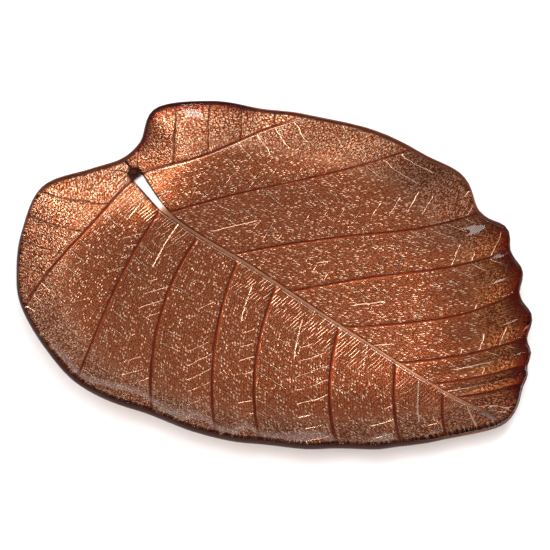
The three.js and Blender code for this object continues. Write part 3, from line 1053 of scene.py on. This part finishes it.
        # Painted highlight beside the near foot.
        pale = self.line(self.side + half_width + 0.7, 0.5) * self.rise(self.stir_z, -0.18, -0.06) * beyond
        color = self.mix(self.rise(pale, 0.1, 0.7), color, STEM_EDGE_HIGHLIGHT)
        # Painted shade along the far foot.
        dark = self.line(self.side - half_width, 0.75) * (1 - 0.6 * self.stalk)
        return self.mix(self.rise(dark, 0.1, 0.7) * 0.85, color, STEM_EDGE_SHADE)

    def shade_and_edge_color(self, color, stem, lobes, edge):
        """Painted shade over a colour: a pool by the stalk, a dark red band along the margin, strongest at
        the lobes and in the notch, and the stalk's pit; around the edge, the coat's colour, red as painted
        shade at the lobes and notch.
        """
        # Painted shade around the stalk.
        pool = self.rise((self.x - STALK_SHADE_X) ** 2 + (self.y - STALK_SHADE_Y) ** 2, *STALK_SHADE_SQUARES) * (1 - stem)
        color = self.mix(pool * 0.5, color, STALK_SHADE_BROWN)
        notch = self.rise(self.x, *NOTCH_X) * self.rise(self.y, *NOTCH_Y)
        # Painted shade along the margin.
        margin_shade = self.rise(self.climbed, *LOBE_MARGIN) * lobes
        margin_shade = margin_shade.most(self.rise(self.climbed, *NOTCH_MARGIN) * notch)
        margin_shade = margin_shade.most(self.rise(self.climbed, *THIN_MARGIN) * 0.5)
        color = self.mix(margin_shade * 0.9, color, MARGIN_SHADE_RED)
        # Painted shade: red on the edge at the lobes and notch.
        color = self.mix(edge, color, self.mix(lobes.most(notch), EDGE_COPPER, EDGE_SHADE_RED))
        # Painted shade in the stalk's pit.
        pit = self.rise(self.stem_place, *PIT_END) * self.rise(self.midrib, *PIT_REACH)
        return self.mix(pit, color, PIT_SHADE_BROWN)

    def made(self):
        twigs, ridges, middle_veins = self.twigs(), self.ridges(), self.middle_veins()
        dashes, dashed = self.dashes()
        dots = (self.dots() * (1 - dashed)).most(dashes)
        pebble = self.rise(self.cells(self.sideways, self.onwards, CELL_PITCH)[0], 0.5, 0.15)
        borders = self.borders(self.sideways, self.row, RIM_CELL_PITCH) * self.upturned * 0.75
        lobes = self.rise(self.x, *LOBES_X) * self.rise(self.y, *LOBES_Y)
        edge = self.rise(self.climbed, *EDGE_TURN)

        # Veins, twigs and the midrib stay smooth.
        half_width = self.stem_half_width()
        stem = self.rise(self.midrib - half_width * STEM_TOP, 0.2, -0.2)
        veins = self.rise(self.vein, 1.5, 0.8) * self.rise(abs(self.along) + self.vein, 1.5, 5)
        veins = veins.most(self.rise(twigs, 0.1, 0.5) * 0.3)
        plain = 1 - veins.most(stem)

        marks = (borders * RIM_BORDER_HEIGHT).most(dots * DOT_HEIGHT)
        marks = marks.most(ridges * RIDGE_HEIGHT).most(middle_veins * RIDGE_HEIGHT)
        ground = self.noise(self.place, GRAIN_NOISE, 3) * GRAIN_HEIGHT + pebble * CELL_HEIGHT
        height = (ground + marks) * plain + twigs * TWIG_HEIGHT

        color = self.cell_color(pebble, self.rise(borders, 0.2, 0.65) * plain, lobes)
        # Painted glints: cream on the dots, dashes, ridges, faint veins and the far vein's side.
        pale = dots.most(ridges).most(middle_veins).most(self.vein_side_highlight())
        color = self.mix(self.rise(pale, 0.1, 0.6) * plain, color, PAINTED_GLINT_CREAM)
        color = self.mix(veins * 0.9, color, VEIN_RED)
        color = self.shade_and_edge_color(self.stem_color(color, stem, half_width), stem, lobes, edge)
        return self.finished({
            "Base Color": color,
            "Metallic": 1 - edge.most(stem * self.stalk * 0.15),
            "Roughness": self.between(stem, 0.26 + 0.12 * veins, 0.38),
            "Normal": self.bump(height, 0.001, 1.0),
        })


def clear_glass():
    return Paint(bpy.data.materials.new("clear_glass")).finished({
        "Base Color": (1.0, 0.99, 0.985, 1),
        "Roughness": 0.0,
        "IOR": 1.5,
        "Transmission Weight": 1.0,
    })


LACQUER_THICK = (0.40, 0.21, 0.14, 1)
LACQUER_THIN = (0.32, 0.16, 0.10, 1)
# Painted shade on the lacquer where it turns up around the edge.
LACQUER_EDGE_SHADE = (0.024, 0.006, 0.004, 1)
LACQUER_TURN = (-0.76, -0.62)


def seal_lacquer():
    """Brown lacquer, very dark where it turns up around the edge: painted shade."""
    paint = Paint(bpy.data.materials.new("seal_lacquer"))
    place = paint.coordinates("Object")
    flow = paint.noise(place, 60, 3)
    _, _, facing = paint.parts(paint.coordinates("Normal"))
    brown = paint.mix(flow, LACQUER_THICK, LACQUER_THIN)
    return paint.finished({
        "Base Color": paint.mix(paint.rise(facing, *LACQUER_TURN), brown, LACQUER_EDGE_SHADE),
        "Specular IOR Level": 0.25,
        "Roughness": 0.35 + 0.15 * flow,
        "Normal": paint.bump(paint.noise(place, 420, 2), 0.0002, 0.6),
    })


PAD_MILK = (0.74, 0.74, 0.72, 1)
PAD_SHADE = (0.68, 0.68, 0.66, 1)


def pad_plastic():
    paint = Paint(bpy.data.materials.new("pad_plastic"))
    cloud = paint.noise(paint.coordinates("Object"), 300, 2)
    return paint.finished({
        "Base Color": paint.mix(cloud, PAD_MILK, PAD_SHADE),
        "Roughness": 0.28 + 0.1 * cloud,
        "Subsurface Weight": 0.2,
    })


glass_sheet.data.materials.append(clear_glass())
copper_film.data.materials.append(CopperPaint().made())
lacquer_film.data.materials.append(seal_lacquer())
plastic = pad_plastic()
for pad in pads:
    pad.data.materials.append(plastic)

for piece, node, slot in (
    (glass_sheet, "glass_leaf", "clear_glass"),
    (copper_film, "copper_coat", "copper_paint"),
    (lacquer_film, "backing_lacquer", "seal_lacquer"),
    *((pad, f"bumper_pad_{i + 1}", "pad_plastic") for i, pad in enumerate(pads)),
):
    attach(piece, "root")
    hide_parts(node)

# Floor, pale and wide. Where it is seen it has a little light of its own, and more of it far away, so that it
# shows white. From below it is clear.
FLOOR_HALF = 6.0
FLOOR_GLOW = 0.06
FLOOR_FADE = (0.6, 1.6)
FLOOR_WHITE = (0.88, 0.88, 0.88, 1)
WHITE = (1, 1, 1, 1)


def floor_white():
    paint = Paint(bpy.data.materials.new("floor_white"))
    seen, mirrored, through = paint.rays()
    x, y, _ = paint.parts(paint.coordinates("Object"))
    away = paint.rise((x ** 2 + y ** 2) ** 0.5, *FLOOR_FADE)
    lit = paint.node("ShaderNodeMixShader", None, {
        0: seen.most(mirrored).most(through) * (FLOOR_GLOW + (1 - FLOOR_GLOW) * away),
        1: paint.node("ShaderNodeBsdfDiffuse", None, {"Color": FLOOR_WHITE}),
        2: paint.node("ShaderNodeEmission", None, {"Color": WHITE, "Strength": 1.0}),
    })
    paint.surface(paint.node("ShaderNodeMixShader", None, {
        0: paint.node("ShaderNodeNewGeometry", output="Backfacing"),
        1: lit,
        2: paint.node("ShaderNodeBsdfTransparent"),
    }))
    return paint.owner


corners = np.array([[-1.0, -1, 0], [1, -1, 0], [1, 1, 0], [-1, 1, 0]]) * FLOOR_HALF
floor = mesh_object("floor", corners, [[0, 1, 2, 3]])
floor.data.materials.append(floor_white())

# A dim room above a white backdrop. The glass mirrors only the backdrop's foot, and the coat more of it.
ROOM_LEVEL = 0.24
MIRROR_LEVEL = 0.06
BACKDROP_TOP = (0.16, 0.08)
BACKDROP_SHEEN = 0.75
COAT_BACKDROP_TOP = (0.5, 0.12)

world = bpy.data.worlds.new("studio")
bpy.context.scene.world = world
room = Paint(world)
seen, mirrored, through = room.rays()
_, _, up = room.parts(room.coordinates("Generated"))
backdrop = seen.most(room.rise(up, *BACKDROP_TOP) * mirrored * BACKDROP_SHEEN)
backdrop = backdrop.most(room.rise(up, *COAT_BACKDROP_TOP) * through)
level = room.between(backdrop, room.between(mirrored, ROOM_LEVEL, MIRROR_LEVEL), 1.0)
room.node("ShaderNodeOutputWorld", None, {
    "Surface": room.node("ShaderNodeBackground", None, {"Color": WHITE, "Strength": level})})

image_right = Vector((math.cos(VIEW_AZIMUTH), math.sin(VIEW_AZIMUTH), 0))
image_back = Vector((-math.sin(VIEW_AZIMUTH), math.cos(VIEW_AZIMUTH), 0))


def soft_box(name, right, back, up, distance, size, radiance, aim=VIEW_TARGET):
    """An area lamp that faces the point it aims at, from a direction given as the camera sees it."""
    lamp = bpy.data.lights.new(name, "AREA")
    lamp.shape = "RECTANGLE"
    lamp.size, lamp.size_y = size
    lamp.energy = radiance * math.pi * size[0] * size[1]
    holder = bpy.data.objects.new(name, lamp)
    towards = (right * image_right + back * image_back + Vector((0, 0, up))).normalized()
    holder.location = aim + towards * distance
    holder.rotation_euler = towards.to_track_quat("Z", "Y").to_euler()
    bpy.context.scene.collection.objects.link(holder)
    return holder


# Places on the glass that show the windows.
TOP_AIM = Vector((-0.152, 0.078, 0.021))
LEFT_AIM = Vector((0.0645, 0.118, 0.017))

# The large boxes light the coat and make no outline in the glass; the small windows show in it.
for box in (
    soft_box("right_box", 0.42, 0.37, 0.83, 1.3, (0.38, 0.38), 10.5),
    soft_box("scrim", 0.3, 0.12, 0.9, 1.6, (1.3, 1.3), 0.75),
    soft_box("top_scrim", 0.0, -0.2, 0.97, 1.5, (0.8, 0.8), 2.7),
    soft_box("back_scrim", 0.0, 0.7, 0.7, 1.6, (1.2, 1.2), 0.38),
    soft_box("left_scrim", -0.8, 0.0, 0.6, 1.6, (1.0, 1.0), 0.4),
    soft_box("front_scrim", 0.0, -0.8, 0.6, 1.6, (1.0, 1.0), 0.4),
):
    box.visible_glossy = False
for window in (
    soft_box("top_window", 0.03, -0.2, 0.98, 2.5, (0.28, 0.3), 7.0, TOP_AIM),
    soft_box("left_window", -0.38, 0.60, 0.71, 1.25, (0.07, 0.09), 4.0, LEFT_AIM),
):
    window.visible_transmission = False
fill = soft_box("floor_fill", -0.35, -1.0, 0.9, 2.0, (2.6, 2.6), 3.2)
fill.visible_glossy = False
fill.visible_transmission = False

bpy.context.scene.view_settings.view_transform = "Standard"
